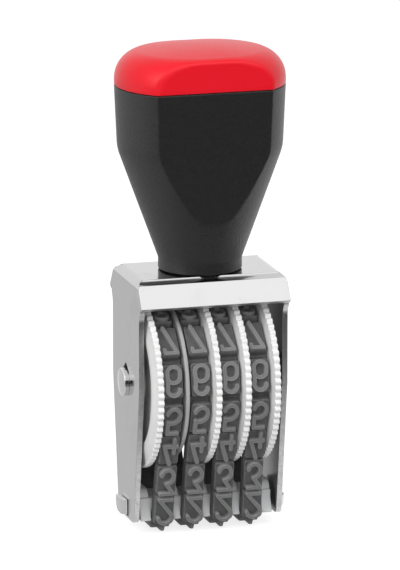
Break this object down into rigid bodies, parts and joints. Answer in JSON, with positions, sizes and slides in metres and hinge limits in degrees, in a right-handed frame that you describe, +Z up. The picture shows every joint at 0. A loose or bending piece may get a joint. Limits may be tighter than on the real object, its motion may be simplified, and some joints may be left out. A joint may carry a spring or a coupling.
{
  "type": "numbering stamp",
  "caption": "Hand-held numbering stamp: palm grip on a bent sheet frame, with thumb wheels that set endless rubber number bands.",
  "frame": {"origin": "on the axis of the grip, in the plane of the printing faces of the lowest characters, so the stamp stands on z = 0", "axes": "+Z up along the grip, +X to the right seen from the front, -Y is the front, and the axle of the thumb wheels runs along X"},
  "size_m": [0.0368, 0.0374, 0.1055],
  "materials": {
    "frame": "bright plated sheet",
    "steel": "plated steel",
    "brass": "turned",
    "grip": "fine grained",
    "cap": "satin gloss",
    "wheel": "smooth",
    "disc": "smooth",
    "comb": "smooth",
    "washer": "hard fibre",
    "band": "moulded"
  },
  "bodies": {
    "stamp": {"frame_shell": "frame", "handle_body": "grip", "handle_cap": "cap", "handle_insert": "brass", "handle_screw": "steel", "lock_washer": "steel", "axle_rivet": "steel", "separator_disc": "disc", "friction_washer_1": "washer", "friction_washer_2": "washer", "friction_washer_3": "washer", "friction_washer_4": "washer", "end_spacer_left": "washer", "end_spacer_right": "washer", "number_band_1": "band", "number_band_2": "band", "number_band_3": "band", "number_band_4": "band", "print_bridge": "steel", "bridge_comb": "comb"},
    "wheel_1": {"number_wheel_1": "wheel"},
    "wheel_2": {"number_wheel_2": "wheel"},
    "wheel_3": {"number_wheel_3": "wheel"},
    "wheel_4": {"number_wheel_4": "wheel"}
  },
  "joints": [
    {"name": "wheel_1_turn", "type": "hinge", "parent": "stamp", "child": "wheel_1", "pos_m": [0, 0, 0.0328], "axis": [1, 0, 0], "continuous": true},
    {"name": "wheel_2_turn", "type": "hinge", "parent": "stamp", "child": "wheel_2", "pos_m": [0, 0, 0.0328], "axis": [1, 0, 0], "continuous": true},
    {"name": "wheel_3_turn", "type": "hinge", "parent": "stamp", "child": "wheel_3", "pos_m": [0, 0, 0.0328], "axis": [1, 0, 0], "continuous": true},
    {"name": "wheel_4_turn", "type": "hinge", "parent": "stamp", "child": "wheel_4", "pos_m": [0, 0, 0.0328], "axis": [1, 0, 0], "continuous": true}
  ]
}
